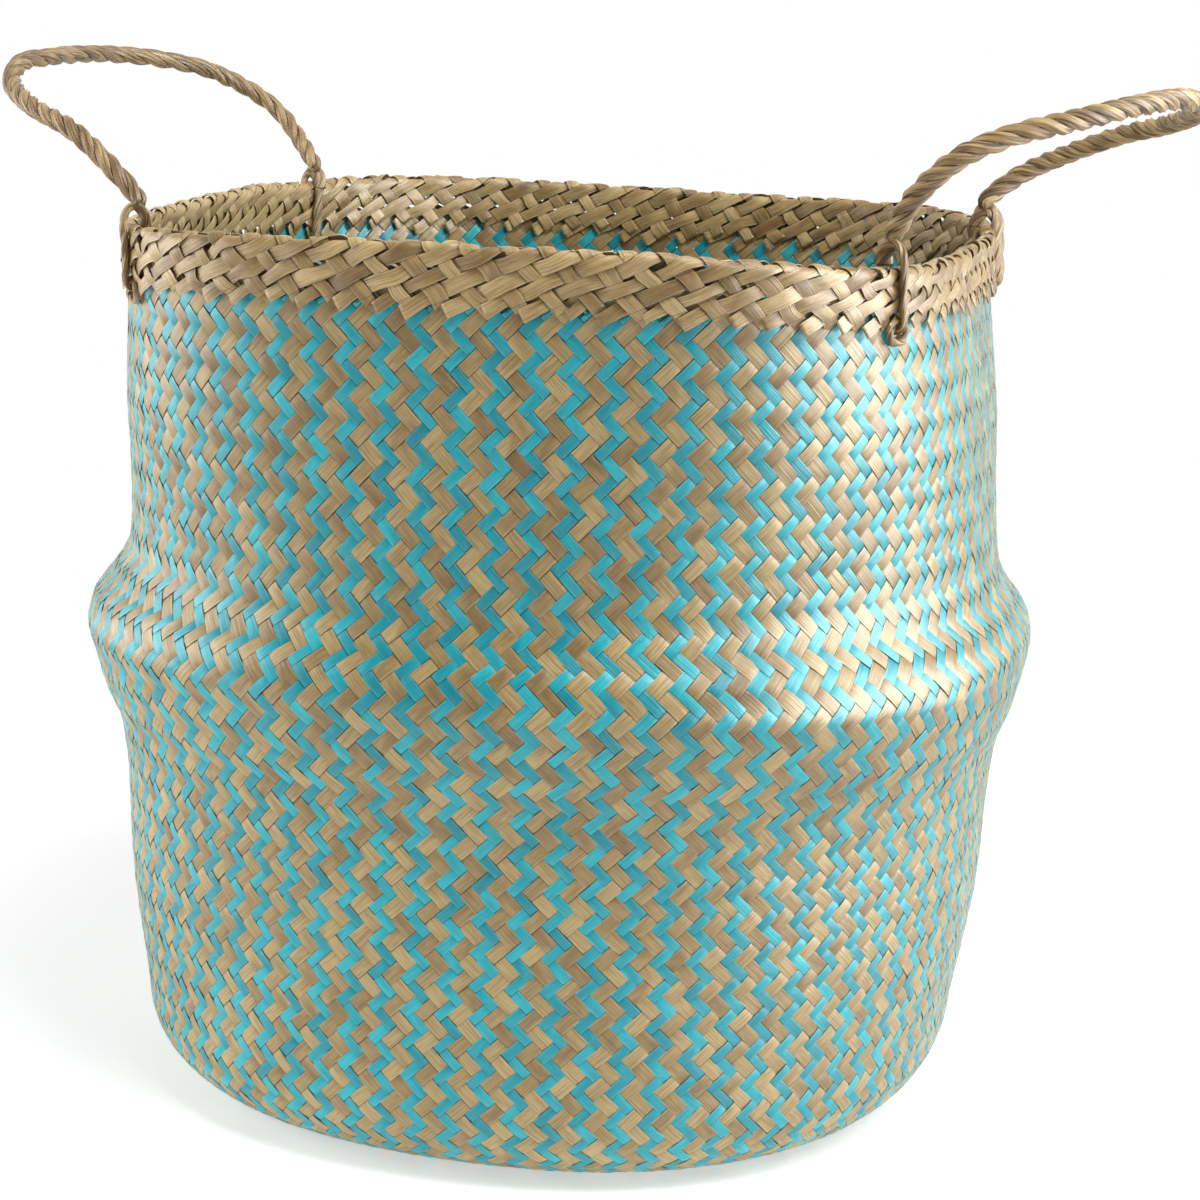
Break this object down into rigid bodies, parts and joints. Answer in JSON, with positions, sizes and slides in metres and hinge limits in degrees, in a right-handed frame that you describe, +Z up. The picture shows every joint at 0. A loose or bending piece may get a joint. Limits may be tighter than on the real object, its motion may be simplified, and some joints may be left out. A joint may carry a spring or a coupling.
{
  "type": "belly basket",
  "caption": "Soft belly basket of plaited seagrass: round belly that folds down along a crease, toothed border folded over the rim, and rope loop handles lashed to it.",
  "frame": {"origin": "centre of the flat base, on the floor", "axes": "+Z up, handles stand over -X (left) and +X (right), front faces -Y"},
  "size_m": [0.492, 0.374, 0.4341],
  "materials": {
    "plaited_seagrass": "dyed and natural dried leaf, matt",
    "natural_seagrass": "natural dried leaf, matt",
    "seagrass_rope": "twisted natural dried leaf, matt"
  },
  "bodies": {
    "root": {"lower_body": "plaited_seagrass", "shoulder_fold": "plaited_seagrass"},
    "upper": {"upper_wall": "plaited_seagrass", "rim_border": "natural_seagrass", "left_front_lashing": "seagrass_rope", "left_rear_lashing": "seagrass_rope", "right_front_lashing": "seagrass_rope", "right_rear_lashing": "seagrass_rope", "left_front_knot": "seagrass_rope", "left_rear_knot": "seagrass_rope", "right_front_knot": "seagrass_rope", "right_rear_knot": "seagrass_rope"},
    "left_handle": {"left_handle": "seagrass_rope"},
    "right_handle": {"right_handle": "seagrass_rope"}
  },
  "joints": [
    {"name": "belly_collapse", "type": "slide", "parent": "root", "child": "upper", "axis": [0, 0, 1], "range_m": [-0.058, 0], "deforming": ["shoulder_fold"]},
    {"name": "left_handle_swing", "type": "hinge", "parent": "upper", "child": "left_handle", "pos_m": [-0.14863, -0.01936, 0.3788], "axis": [-0.0765, 0.9971, 0], "range_deg": [-35, 125]},
    {"name": "right_handle_swing", "type": "hinge", "parent": "upper", "child": "right_handle", "pos_m": [0.15722, -0.01386, 0.3788], "axis": [-0.0392, -0.9992, 0], "range_deg": [-30, 125]}
  ]
}
